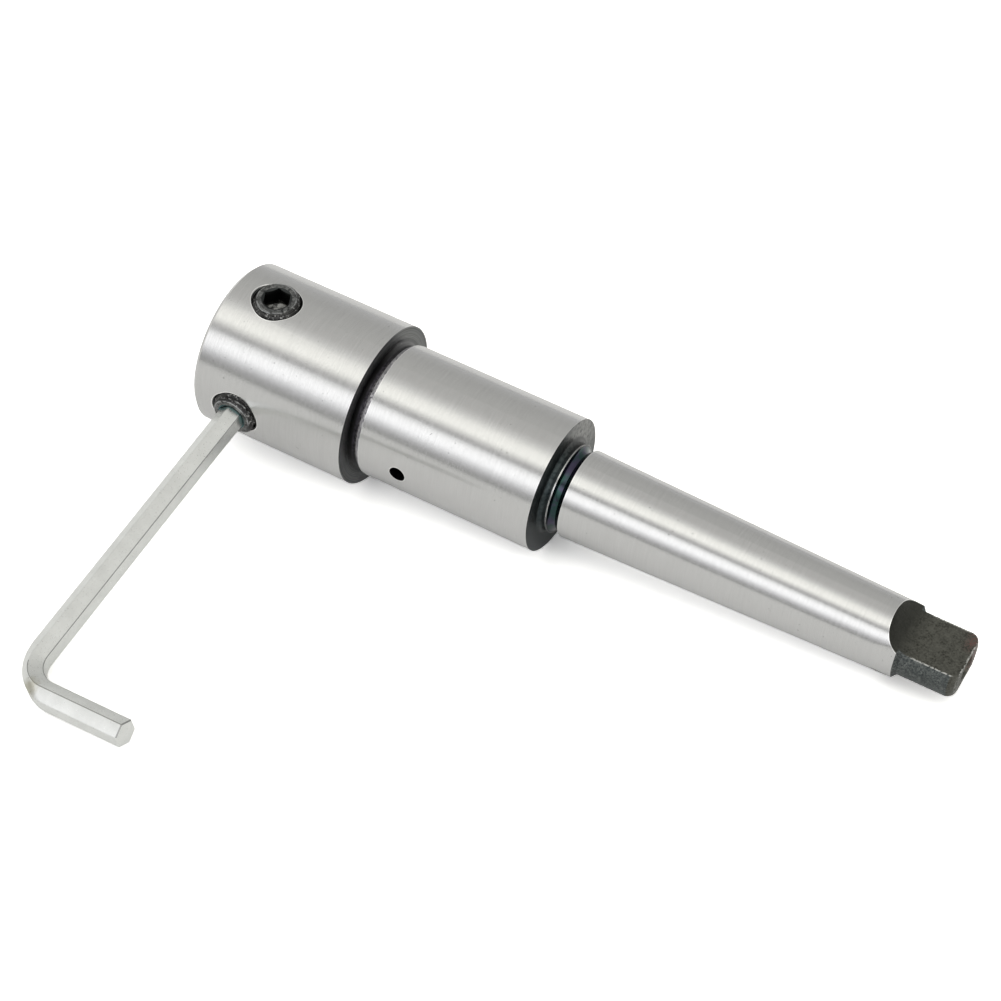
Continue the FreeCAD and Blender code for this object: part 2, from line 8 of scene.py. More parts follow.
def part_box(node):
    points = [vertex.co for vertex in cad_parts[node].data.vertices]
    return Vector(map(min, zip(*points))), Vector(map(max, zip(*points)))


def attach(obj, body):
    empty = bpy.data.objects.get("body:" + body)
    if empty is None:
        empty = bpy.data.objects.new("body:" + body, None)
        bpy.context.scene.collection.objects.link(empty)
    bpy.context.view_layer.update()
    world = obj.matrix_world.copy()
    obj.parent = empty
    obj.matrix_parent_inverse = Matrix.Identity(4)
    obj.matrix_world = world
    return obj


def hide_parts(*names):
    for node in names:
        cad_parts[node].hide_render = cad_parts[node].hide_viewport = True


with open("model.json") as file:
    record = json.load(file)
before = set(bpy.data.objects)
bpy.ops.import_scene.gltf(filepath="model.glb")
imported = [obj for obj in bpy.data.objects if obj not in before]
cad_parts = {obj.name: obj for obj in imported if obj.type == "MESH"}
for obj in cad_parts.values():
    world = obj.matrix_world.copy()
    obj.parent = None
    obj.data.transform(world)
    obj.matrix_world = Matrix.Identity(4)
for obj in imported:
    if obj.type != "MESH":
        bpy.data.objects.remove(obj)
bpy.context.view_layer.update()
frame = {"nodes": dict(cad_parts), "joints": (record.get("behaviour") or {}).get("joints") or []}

# The arbor's own frame: X along its axis from the front face to the tang,
# Z along the top screw, -Y along the side screw; lengths there are in mm
MM = 0.001
JOINTS = {joint["name"]: joint for joint in frame["joints"]}
ALONG = Vector(JOINTS["ejector_slide"]["axis"])
UPPER = Vector(JOINTS["top_screw_turn"]["axis"])
ACROSS = UPPER.cross(ALONG)
SIDE = Vector(JOINTS["side_screw_turn"]["axis"])
TURNED = Matrix((ALONG, ACROSS, UPPER)).transposed()

# Sizes of the arbor, in mm
ORIGIN_STATION = 0.8
HEAD_RADIUS = 16.65
HEAD_LENGTH = 33.7
FRONT_CHAMFER = 0.8
BORE_RADIUS = 9.535
BORE_DEPTH = 35.0
NECK_RADIUS = 12.8
SEAT_RADIUS = 13.72
SEAT_LEAD_START = 35.3
SEAT_START = 36.2
SEAT_END = 73.3
LAND_RADIUS = 9.12
LAND_END = 75.1
LAND_RIM = 0.32
TAPER_RADIUS = 9.0
TAPER_START = 77.4
TAPER_END = 145.75
TAPER_SLOPE = 1 / 40.04
TANG_RADIUS = 6.35
TANG_HALF = 3.15
TANG_FLAT_START = 148.05
TANG_END = 157.5
MILL_RADIUS = 5.8
SCREW_STATION = 9.8
HOLE_RADIUS = 4.8
HOLE_MOUTH_LEVEL = 16.22
COOLANT_STATION = 45.0
COOLANT_RADIUS = 1.7

# Finishes of the arbor, in mm: width of the painted highlight along the edges and
# round the holes, soft width of a border between two finishes, and what the grinding
# wheel left black at each end of the taper
RIM = 0.14
SOFT = 0.03
TAPER_MARGIN = 0.05
# Where the hatching on the middle cylinder's front edge starts
HATCH_START = SEAT_LEAD_START - 0.5
# Where the black of the tang may start, below the arcs of its run-out
TANG_BLACK_START = TAPER_END - 4.5

# Colours: a pair runs from dark to light, and a noise blends between its two
GROUND = ((0.595, 0.595, 0.590), (0.655, 0.655, 0.650))
GROUND_BLOTCH = (0.45, 0.45, 0.44)
GROUND_PIT = (0.12, 0.125, 0.12)
# Painted highlight: near-white colour for thin lines along the edges and round the holes
GROUND_PAINTED_HIGHLIGHT = (0.96, 0.96, 0.95)
HEAD_REAR = ((0.055, 0.060, 0.060), (0.255, 0.260, 0.257))
NECK_NEAR = ((0.018, 0.017, 0.019), (0.065, 0.060, 0.072))
NECK_CORNER_PAINTED_SHADE = (0.008, 0.008, 0.008)
# Painted light: greyer oxide colour for the neck's upper far side
NECK_FAR_PAINTED_LIGHT = ((0.075, 0.076, 0.078), (0.15, 0.15, 0.15))
LEAD_TONE = ((0.30, 0.29, 0.33), (0.62, 0.60, 0.64))
HATCH_PAINTED_HIGHLIGHT = (0.66, 0.65, 0.66)
SEAT_REAR_NEAR = ((0.024, 0.032, 0.034), (0.056, 0.066, 0.068))
# Painted light: greyer oxide colour for the upper far side of the middle cylinder's rear face
SEAT_REAR_FAR_PAINTED_LIGHT = ((0.085, 0.088, 0.086), (0.36, 0.36, 0.35))
LAND_SHADE = (0.030, 0.032, 0.032)
GROOVE_TINTS = ((0.028, 0.060, 0.055), (0.062, 0.056, 0.092))
TANG_FLAT = ((0.030, 0.030, 0.025), (0.145, 0.145, 0.125))
TANG_FLAT_PATCH = (0.150, 0.150, 0.130)
TANG_RUN_OUT_PAINTED_SHADE = (0.034, 0.035, 0.031)
TANG_SIDE = ((0.050, 0.057, 0.058), (0.135, 0.150, 0.146))
TANG_SIDE_PATCH = (0.27, 0.28, 0.27)
TANG_RUST = (0.20, 0.075, 0.070)
TANG_EDGE = (0.66, 0.66, 0.63)
SCREW_FACE = ((0.045, 0.047, 0.047), (0.235, 0.237, 0.235))
SCREW_CONE = ((0.014, 0.014, 0.014), (0.085, 0.085, 0.083))
SCREW_FLECK_GLINT = (0.48, 0.48, 0.47)
SCREW_EDGE_HIGHLIGHT = (0.40, 0.41, 0.41)
SOCKET_WALL_PAINTED_SHADE = (0.014, 0.015, 0.015)
SOCKET_FLOOR = ((0.03, 0.03, 0.03), (0.27, 0.27, 0.26))
TOP_SOCKET_MOUTH = (0.040, 0.043, 0.043)
SIDE_SOCKET_MOUTH = (0.075, 0.155, 0.160)
PLATING = ((0.77, 0.78, 0.76), (0.84, 0.85, 0.83))
PLATING_SCRATCH = (0.66, 0.67, 0.65)
PLATING_STAIN = (0.36, 0.33, 0.21)
# How much darker the painted shade on the key's ridges is
RIDGE_PAINTED_DARKNESS = 0.42

# Grub screw, 3/8 in with 16 turns to the inch, in mm
SCREW_LENGTH = 7.6
TOP_SCREW_PROUD = 0.65
SIDE_SCREW_PROUD = 1.0
TOP_SCREW_TURN = 23.5
CREST_RADIUS = 4.7
ROOT_RADIUS = 3.85
THREAD_PITCH = 1.5875
SCREW_CHAMFER = 0.8
POINT_RADIUS = 3.2
POINT_SLOPE = 1.25
SOCKET_WIDTH = 4.98
SOCKET_DEPTH = 4.0
SOCKET_MOUTH = 3.05
SOCKET_MOUTH_SLOPE = 1 / math.tan(math.radians(60))
SOCKET_CONE_SLOPE = 1 / math.tan(math.radians(59))
SCREW_STEPS = 120
ROWS_PER_TURN = 16

# Hex key, 3/16 in, in mm, in the side screw's frame
KEY_WIDTH = 4.76
KEY_EDGE = 0.37
KEY_TIP = HEAD_RADIUS + SIDE_SCREW_PROUD - SOCKET_DEPTH + 0.1
KEY_LONG_ARM = 74.1
KEY_SHORT_ARM = 25.4
KEY_BEND_MIDDLE = 6.4
KEY_BEND_SLOPE = -1.41
KEY_BEND_CURVE = 0.29
KEY_BEND_ANGLE = math.radians(87)
KEY_TURN = 10.0
KEY_TIP_OVER = 3.4
KEY_CHAMFER = 0.35
KEY_END_CHAMFER = 0.2
KEY_STAIN = (3.9, 1.8, 88.8)
BEND_STEPS = 32
EDGE_STEPS = 4
# Strips of the section that carry a painted dark line (painted shade): on the ridge
# inside the bend, on the ridge above it, and round the upper part of the short arm's end
INNER_RIDGE = (2, 3, 4, 5)
UPPER_RIDGE = (11, 12, 13, 14)
END_EDGE = tuple(range(4, 20))
# Angle of a hexagon's first corner when a flat faces the first axis
HEX_CORNER = math.radians(30)

# The photograph's camera, solved from the edges of the arbor
CAMERA_PLACE = (218.85, -294.54, 395.64)
CAMERA_RIGHT = (0.86787, 0.49635, 0.02103)
CAMERA_DOWN = (0.39571, -0.66506, -0.63333)
CAMERA_LENS = 96.88
CAMERA_SENSOR = 36.0

# Strip lights of the studio, by angle about the arbor's axis from the top
# screw's direction towards the side screw's, with their brightness and tint
STUDIO = [
    (-120, (0.55, 0.55, 0.55)),
    (-95, (0.59, 0.59, 0.585)),
    (-72, (0.52, 0.52, 0.505)),
    (-45, (0.58, 0.58, 0.56)),
    (-16, (0.66, 0.655, 0.635)),
    (-4, (0.92, 0.915, 0.89)),
    (5, (1.32, 1.31, 1.25)),
    (19, (1.50, 1.49, 1.42)),
    (29, (0.72, 0.715, 0.70)),
    (34, (0.38, 0.38, 0.38)),
    (40, (1.30, 1.30, 1.30)),
    (48, (1.60, 1.60, 1.61)),
    (57, (1.56, 1.56, 1.58)),
    (66, (0.95, 0.95, 0.97)),
    (74, (0.54, 0.54, 0.54)),
    (86, (0.32, 0.32, 0.31)),
    (95, (0.90, 0.90, 0.89)),
]
# How much brighter the studio is beyond the tang's end of the arbor, and beyond its
# front face on the far side and on the near side
REAR_LIGHT = 1.15
FRONT_FAR_LIGHT = 1.35
FRONT_NEAR_LIGHT = 0.82
# How far along the arbor's axis a direction leans where those start and are full
FRONT_LEAN = (-0.44, -0.54)
REAR_LEAN = (0.0, 0.25)
# Where the front light passes from the far side to the near one, in turns
SIDE_TURNS = (0.33, 0.53)
# A colour ramp holds no more than 1, so it holds the strips at half their level
RAMP_SCALE = 2.0

# White paper under the part: its colour by light, its colour to the camera, its reach in metres
FLOOR_COLOUR = 0.87
FLOOR_SEEN = 1.9
FLOOR_REACH = 4.0


def on_arbor(x, y, z):
    """Point of the arbor's own frame, in mm, as a point of the row frame, in metres."""
    return TURNED @ Vector((x - ORIGIN_STATION, y, z)) * MM


class Nodes:
    """A node tree written as nested calls, each adding one node."""

    def __init__(self, tree):
        self.tree = tree
        tree.nodes.clear()

    def add(self, kind, inputs=None, **settings):
        made = self.tree.nodes.new(kind)
        for name, value in settings.items():
            setattr(made, name, value)
        for name, value in (inputs or {}).items():
            self.feed(made.inputs[name], value)
        return made

    def feed(self, socket, value):
        if isinstance(value, bpy.types.NodeSocket):
            self.tree.links.new(value, socket)
        else:
            socket.default_value = value

    def math(self, operation, *values, clamp=False):
        made = self.add("ShaderNodeMath", operation=operation, use_clamp=clamp)
        for place, value in enumerate(values):
            self.feed(made.inputs[place], value)
        return made.outputs[0]

    def product(self, first, *others):
        for other in others:
            first = self.math("MULTIPLY", first, other)
        return first

    def dot(self, vector, direction):
        made = self.add("ShaderNodeVectorMath", operation="DOT_PRODUCT")
        self.feed(made.inputs[0], vector)
        made.inputs[1].default_value = direction
        return made.outputs["Value"]

    def length(self, first, second):
        squares = self.math("ADD", self.product(first, first), self.product(second, second))
        return self.math("SQRT", squares)

    def ramp(self, value, stops):
        made = self.add("ShaderNodeValToRGB", {"Fac": value})
        elements = made.color_ramp.elements
        while len(elements) < len(stops):
            elements.new(0.5)
        for element, (place, colour) in zip(elements, stops):
            element.position = place
            element.color = (*colour, 1.0)
        return made.outputs["Color"]

    def noise(self, vector, scale, detail=3.0, roughness=0.55):
        inputs = {"Vector": vector, "Scale": scale, "Detail": detail, "Roughness": roughness}
        return self.add("ShaderNodeTexNoise", inputs).outputs["Fac"]

    def rescale(self, value, low, high, new_low=0.0, new_high=1.0):
        inputs = {"Value": value, "From Min": low, "From Max": high,
                  "To Min": new_low, "To Max": new_high}
        return self.add("ShaderNodeMapRange", inputs).outputs["Result"]

    def between(self, value, low, high, soft):
        """1 where a value lies between two limits, with soft edges of this width."""
        rising = self.rescale(value, low - soft, low + soft)
        falling = self.rescale(value, high - soft, high + soft, 1.0, 0.0)
        return self.product(rising, falling)

    def mix(self, factor, first, second):
        """Blend of two colours, or of a colour and another part of the tree."""
        made = self.add("ShaderNodeMix", data_type="RGBA")
        self.feed(made.inputs["Factor"], factor)
        for place, value in ((6, first), (7, second)):
            self.feed(made.inputs[place], (*value, 1.0) if isinstance(value, tuple) else value)
        return made.outputs[2]

    def blend(self, factor, first, second):
        """Blend of two numbers."""
        made = self.add("ShaderNodeMix", data_type="FLOAT")
        for place, value in enumerate((factor, first, second)):
            self.feed(made.inputs[(0, 2, 3)[place]], value)
        return made.outputs[0]

    def vector(self, x, y, z):
        return self.add("ShaderNodeCombineXYZ", {"X": x, "Y": y, "Z": z}).outputs[0]

    def bump(self, height, strength, distance):
        inputs = {"Height": height, "Strength": strength, "Distance": distance}
        return self.add("ShaderNodeBump", inputs).outputs["Normal"]

    def metal(self, colour, roughness, normal, metallic=1.0):
        inputs = {"Base Color": colour, "Roughness": roughness, "Normal": normal,
                  "Metallic": metallic}
        return self.add("ShaderNodeBsdfPrincipled", inputs).outputs[0]

    def surface(self, shader):
        self.add("ShaderNodeOutputMaterial", {"Surface": shader})


def new_material(name):
    """Empty material and the tree that its nodes go into."""
    material = bpy.data.materials.new(name)
    material.use_nodes = True
    return material, Nodes(material.node_tree)


def arbor_coordinates(nodes):
    """Distance along the arbor, distance across it two ways, and radius, in mm."""
    point = nodes.add("ShaderNodeTexCoord").outputs["Object"]
    along = nodes.math("MULTIPLY_ADD", nodes.dot(point, ALONG), 1 / MM, ORIGIN_STATION)
    across = nodes.product(nodes.dot(point, ACROSS), 1 / MM)
    upper = nodes.product(nodes.dot(point, UPPER), 1 / MM)
    return along, across, upper, nodes.length(across, upper)


def near_surface(nodes, radius, surface, outside=0.10, inside=0.06):
    """1 close to a cylinder's surface, 0 deeper below it than the outer limit."""
    return nodes.rescale(radius, surface - outside, surface - inside)


def ground_mask(nodes, along, radius):
    """1 on the ground surfaces of the arbor, 0 where the black oxide was left."""
    head = nodes.product(near_surface(nodes, radius, HEAD_RADIUS),
                         nodes.rescale(along, HEAD_LENGTH - 0.06, HEAD_LENGTH - 0.02, 1.0, 0.0))
    front = nodes.rescale(along, FRONT_CHAMFER, FRONT_CHAMFER + SOFT, 1.0, 0.0)
    bore = nodes.product(nodes.rescale(radius, BORE_RADIUS + 0.1, BORE_RADIUS + 0.15, 1.0, 0.0),
                         nodes.rescale(along, BORE_DEPTH - 0.1, BORE_DEPTH, 1.0, 0.0))
    seat = nodes.product(near_surface(nodes, radius, SEAT_RADIUS),
                         nodes.between(along, SEAT_START, SEAT_END - 0.04, SOFT))
    rim = nodes.product(near_surface(nodes, radius, LAND_RADIUS, 0.08, 0.04),
                        nodes.between(along, LAND_END - LAND_RIM, LAND_END, SOFT))
    gone = nodes.product(nodes.math("SUBTRACT", along, TAPER_START), TAPER_SLOPE)
    depth = nodes.math("ADD", radius, gone)
    taper = nodes.product(near_surface(nodes, depth, TAPER_RADIUS),
                          nodes.between(along, TAPER_START + TAPER_MARGIN,
                                        TAPER_END - TAPER_MARGIN, SOFT))
    total = head
    for part in (front, bore, seat, rim, taper):
        total = nodes.math("MAXIMUM", total, part)
    return total


def hole_highlight_ring(nodes, place, offset, side, hole):
    """1 in a thin ring round a hole of this radius, on one side of the arbor, for a painted highlight.
    """
    distance = nodes.length(place, offset)
    ring = nodes.between(nodes.math("SUBTRACT", distance, hole), -0.02, RIM, SOFT)
    return nodes.product(ring, nodes.math("GREATER_THAN", side, 0.0))


def mouth_radius(nodes, offset):
    """Radius of a screw hole's chamfered mouth where it meets the head, by offset across it."""
    below = nodes.math("SUBTRACT", HEAD_RADIUS ** 2, nodes.product(offset, offset))
    level = nodes.math("SUBTRACT", nodes.math("SQRT", below), HOLE_MOUTH_LEVEL)
    return nodes.math("ADD", nodes.math("MAXIMUM", level, 0.0), HOLE_RADIUS)


def run_out_highlight_line(nodes, along, upper):
    """1 in a thin line beside the arcs where the tang's cutter ran out into the taper, for a painted
    highlight.
    """
    height = nodes.math("SUBTRACT", TANG_HALF + MILL_RADIUS, nodes.math("ABSOLUTE", upper))
    distance = nodes.length(nodes.math("SUBTRACT", along, TANG_FLAT_START), height)
    return nodes.between(distance, MILL_RADIUS - 0.02, MILL_RADIUS + 0.09, SOFT)


def ground_steel(nodes, coordinates):
    """Bright ground steel: lines round the axis, faint blotches, a few small dark pits, painted
    highlights on edges.
    """
    along, across, upper, _ = coordinates
    round_axis = nodes.vector(nodes.product(along, 6.0), nodes.product(across, 0.15),
                              nodes.product(upper, 0.15))
    lines = nodes.noise(round_axis, 1.0, 4.0, 0.7)
    place = nodes.vector(along, across, upper)
    grain = nodes.noise(nodes.vector(nodes.product(along, 2.2), across, upper), 1.5, 4.0, 0.7)
    blotches = nodes.noise(place, 0.35, 3.0)
    pits = nodes.rescale(nodes.noise(place, 1.9, 1.0), 0.765, 0.795)
    tint = nodes.mix(nodes.rescale(lines, 0.3, 0.7), *GROUND)
    tint = nodes.mix(nodes.rescale(blotches, 0.35, 0.65, 0.0, 0.07), tint, GROUND_BLOTCH)
    tint = nodes.mix(nodes.product(pits, 0.6), tint, GROUND_PIT)
    from_screws = nodes.math("SUBTRACT", along, SCREW_STATION)
    from_coolant = nodes.math("SUBTRACT", along, COOLANT_STATION)
    near = nodes.product(across, -1.0)
    painted_highlights = [hole_highlight_ring(nodes, from_screws, across, upper, mouth_radius(nodes, across)),
            hole_highlight_ring(nodes, from_screws, upper, near, mouth_radius(nodes, upper)),
            hole_highlight_ring(nodes, from_coolant, upper, near, COOLANT_RADIUS),
            run_out_highlight_line(nodes, along, upper)]
    painted_highlights += [nodes.product(nodes.between(along, edge - RIM, edge, SOFT), 0.5)
             for edge in (HEAD_LENGTH, SEAT_START + RIM, SEAT_END,
                          TAPER_START + TAPER_MARGIN + RIM)]
    # Painted highlight: thin lines round the holes, beside the run-out arcs and along the ground edges,
    # painted near-white
    rim = painted_highlights[0]
    for other in painted_highlights[1:]:
        rim = nodes.math("MAXIMUM", rim, other)
    tint = nodes.mix(nodes.product(rim, 0.9), tint, GROUND_PAINTED_HIGHLIGHT)
    roughness = nodes.rescale(grain, 0.35, 0.65, 0.13, 0.22)
    height = nodes.math("ADD", lines, nodes.product(grain, 1.5))
    return tint, roughness, nodes.bump(height, 0.7, 0.00001)


def neck_oxide(nodes, coordinates, mottle, turned):
    """Oxide in front of the taper: black in the necks, painted lighter on the upper far side, with
    painted shade by the head.
    """
    along, across, upper, radius = coordinates
    # Painted light: the oxide is painted greyer towards the upper far side, a painted reflection
    far = nodes.math("ADD", nodes.product(across, 0.77), nodes.product(upper, 0.64))
    film_tint_and_far_light = nodes.rescale(nodes.math("DIVIDE", far, radius), 0.5, 1.0)
    streak = nodes.rescale(turned, 0.36, 0.64)
    patch = nodes.rescale(mottle, 0.38, 0.62)
    cast = nodes.noise(nodes.vector(along, across, upper), 0.35, 2.0)

    # Rear face of the head, streaked by its facing cut
    face = nodes.mix(streak, *HEAD_REAR)
    dark = nodes.mix(patch, *NECK_NEAR)
    # Painted shade: the neck is painted darkest next to the head's rear face
    from_corner = nodes.rescale(along, HEAD_LENGTH + 0.5, HEAD_LENGTH + 0.9)
    dark = nodes.mix(from_corner, NECK_CORNER_PAINTED_SHADE, dark)
    light = nodes.mix(streak, *NECK_FAR_PAINTED_LIGHT)
    neck = nodes.mix(nodes.product(film_tint_and_far_light, film_tint_and_far_light), dark, light)
    below_face = nodes.rescale(radius, NECK_RADIUS + 1.0, NECK_RADIUS + 0.8)
    behind_face = nodes.rescale(along, HEAD_LENGTH, HEAD_LENGTH + 0.1)
    colour = nodes.mix(nodes.product(below_face, behind_face), face, neck)
    # Painted shade: the fillet at the foot of the head's rear face is painted largely in the neck's
    # colour
    colour = nodes.mix(nodes.product(below_face, 0.6), colour, neck)

    # The turned lead of the middle cylinder, its turning marks beside the ground part carrying a
    # painted highlight
    lead = nodes.between(along, SEAT_LEAD_START, SEAT_START, 0.04)
    near_seat = nodes.between(along, HATCH_START, SEAT_START, 0.04)
    edge = nodes.rescale(along, HATCH_START, SEAT_START - 0.2, 0.1, 1.0)
    dash_noise = nodes.noise(nodes.vector(along, across, upper), 3.2, 2.0, 0.6)
    dashes = nodes.rescale(dash_noise, 0.47, 0.57)
    tone = nodes.mix(streak, *LEAD_TONE)
    colour = nodes.mix(lead, colour, tone)
    ridges = nodes.product(near_seat, edge, dashes)
    # Painted highlight on the crests of the real turning marks
    colour = nodes.mix(ridges, colour, HATCH_PAINTED_HIGHLIGHT)

    # Rear face of the middle cylinder down to the land, painted lighter towards the upper far side as a
    # painted reflection
    rear = nodes.rescale(along, SEAT_END - 0.06, SEAT_END - 0.02)
    low = nodes.mix(patch, *SEAT_REAR_NEAR)
    high = nodes.mix(patch, *SEAT_REAR_FAR_PAINTED_LIGHT)
    step = nodes.rescale(radius, LAND_RADIUS + 1.3, LAND_RADIUS + 0.8)
    high = nodes.mix(nodes.product(step, 0.8), high, LAND_SHADE)
    colour = nodes.mix(rear, colour, nodes.mix(film_tint_and_far_light, low, high))
    return colour, cast, lead, ridges


def tang_oxide(nodes, coordinates, mottle, fine):
    """Rough oxide of the tang: olive-black flats, a greyer turned side, worn edges, some rust, painted
    shade on the run-out.
    """
    along, across, upper, radius = coordinates
    place = nodes.vector(along, across, upper)
    patch = nodes.rescale(nodes.noise(place, 0.75, 4.0, 0.65), 0.36, 0.64)
    flat = nodes.mix(nodes.rescale(fine, 0.36, 0.66), *TANG_FLAT)
    flat = nodes.mix(nodes.product(patch, 0.6), flat, TANG_FLAT_PATCH)
    # Painted shade: the flats are painted darker down into the concave run-out of the cutter
    run_out = nodes.rescale(along, TANG_FLAT_START - 3.0, TANG_FLAT_START + 0.5, 0.75, 0.0)
    flat = nodes.mix(run_out, flat, TANG_RUN_OUT_PAINTED_SHADE)
    side = nodes.product(near_surface(nodes, radius, TANG_RADIUS, 0.07, 0.04),
                         nodes.rescale(along, TAPER_END - 0.1, TAPER_END))
    turned_side = nodes.mix(nodes.rescale(fine, 0.35, 0.66), *TANG_SIDE)
    side_patch = nodes.product(patch, nodes.rescale(fine, 0.46, 0.60), 0.6)
    turned_side = nodes.mix(side_patch, turned_side, TANG_SIDE_PATCH)
    wear_and_shade = nodes.mix(side, flat, turned_side)
    rust = nodes.product(nodes.rescale(along, TANG_END - 2.6, TANG_END - 0.9),
                         nodes.rescale(across, 0.5, 3.0), nodes.rescale(fine, 0.46, 0.58))
    wear_and_shade = nodes.mix(nodes.product(rust, 0.7), wear_and_shade, TANG_RUST)
    height = nodes.math("ABSOLUTE", upper)
    lip = nodes.product(near_surface(nodes, radius, TANG_RADIUS, 0.26, 0.12),
                        nodes.rescale(height, TANG_HALF - 0.12, TANG_HALF - 0.05),
                        nodes.rescale(along, TANG_FLAT_START - 0.5, TANG_FLAT_START + 0.5),
                        nodes.rescale(mottle, 0.42, 0.52))
    end_edge = nodes.product(nodes.rescale(along, TANG_END - 0.3, TANG_END - 0.08),
                             nodes.rescale(radius, TANG_RADIUS - 2.6, TANG_RADIUS - 2.0),
                             nodes.rescale(mottle, 0.46, 0.58))
    flat_end = nodes.product(nodes.rescale(along, TANG_END - 0.3, TANG_END - 0.1),
                             nodes.rescale(height, TANG_HALF - 0.5, TANG_HALF - 0.2),
                             nodes.rescale(mottle, 0.44, 0.54))
    edges = nodes.math("MAXIMUM", nodes.math("MAXIMUM", lip, nodes.product(end_edge, 0.5)), flat_end)
    return nodes.mix(nodes.product(edges, 0.9), wear_and_shade, TANG_EDGE)


def black_oxide(nodes, coordinates):
    """Black oxide of the necks, the groove and the tang, over turning marks."""
    along, across, upper, radius = coordinates
    place = nodes.vector(along, across, upper)
    mottle = nodes.noise(place, 1.3, 5.0, 0.7)
    fine = nodes.noise(place, 2.6, 4.0, 0.75)
    turned = nodes.noise(nodes.vector(nodes.product(along, 6.0), nodes.product(radius, 6.0), 0.0),
                         1.0, 2.0)
    colour, cast, lead, ridges = neck_oxide(nodes, coordinates, mottle, turned)
    roughness = nodes.blend(lead, nodes.rescale(mottle, 0.3, 0.7, 0.26, 0.38), 0.5)

    # The groove is smooth, with the teal and violet of thin oxide
    groove = nodes.between(along, LAND_END, TAPER_START, SOFT)
    film_tint_and_far_light = nodes.mix(nodes.rescale(cast, 0.42, 0.58), *GROOVE_TINTS)
    colour = nodes.mix(groove, colour, film_tint_and_far_light)
    roughness = nodes.blend(groove, roughness, 0.12)

    tang = nodes.rescale(along, TANG_BLACK_START, TANG_BLACK_START + 0.2)
    colour = nodes.mix(tang, colour, tang_oxide(nodes, coordinates, mottle, fine))
    roughness = nodes.blend(tang, roughness, nodes.rescale(fine, 0.3, 0.7, 0.38, 0.55))
    rough_height = nodes.product(nodes.math("ADD", fine, mottle), tang, 5.0)
    marks = nodes.product(turned, nodes.rescale(lead, 0.0, 1.0, 0.6, 5.0))
    height = nodes.math("ADD", marks, rough_height)

    # The crests of the lead's turning marks face straight out from the axis
    sideways, upward = [nodes.add("ShaderNodeVectorMath", {0: tuple(direction), "Scale": reach},
                                  operation="SCALE").outputs[0]
                        for direction, reach in ((ACROSS, across), (UPPER, upper))]
    crest = nodes.add("ShaderNodeVectorMath", {0: sideways, 1: upward}, operation="ADD")
    normal = nodes.add("ShaderNodeMix", data_type="VECTOR")
    for place, value in ((0, ridges), (4, nodes.bump(height, 0.5, 0.00003)), (5, crest.outputs[0])):
        nodes.feed(normal.inputs[place], value)
    straight = nodes.add("ShaderNodeVectorMath", {0: normal.outputs[1]}, operation="NORMALIZE")
    return colour, roughness, straight.outputs[0]


def arbor_material():
    """Steel of the arbor, ground bright where a mask says so and black elsewhere."""
    material, nodes = new_material("ground_and_black_oxide_steel")
    coordinates = arbor_coordinates(nodes)
    ground = ground_mask(nodes, coordinates[0], coordinates[3])
    bright = nodes.metal(*ground_steel(nodes, coordinates))
    black = nodes.metal(*black_oxide(nodes, coordinates))
    both = nodes.add("ShaderNodeMixShader", {0: ground, 1: black, 2: bright})
    nodes.surface(both.outputs[0])
    return material


def plain_metal(name, low, high, roughness, scale, strength=0.2):
    """Metal whose colour and height vary with a fine noise."""
    material, nodes = new_material(name)
    point = nodes.add("ShaderNodeTexCoord").outputs["Object"]
    grain = nodes.noise(point, scale, 4.0, 0.65)
    spread = nodes.rescale(grain, 0.3, 0.7)
    nodes.surface(nodes.metal(nodes.mix(spread, low, high), nodes.rescale(spread, 0, 1, *roughness),
                              nodes.bump(grain, strength, 0.00002)))
    return material


def axis_coordinates(nodes, place, axis):
    """Height along a screw's axis from the arbor's, and radius about it, in mm."""
    point = nodes.add("ShaderNodeTexCoord").outputs["Object"]
    offset = nodes.add("ShaderNodeVectorMath", {0: point, 1: place}, operation="SUBTRACT")
    height = nodes.product(nodes.dot(offset.outputs[0], axis), 1 / MM)
    distance = nodes.add("ShaderNodeVectorMath", {0: offset.outputs[0]}, operation="LENGTH")
    slant = nodes.product(distance.outputs["Value"], 1 / MM)
    squares = nodes.math("SUBTRACT", nodes.product(slant, slant), nodes.product(height, height))
    return height, nodes.math("SQRT", nodes.math("MAXIMUM", squares, 0.0))


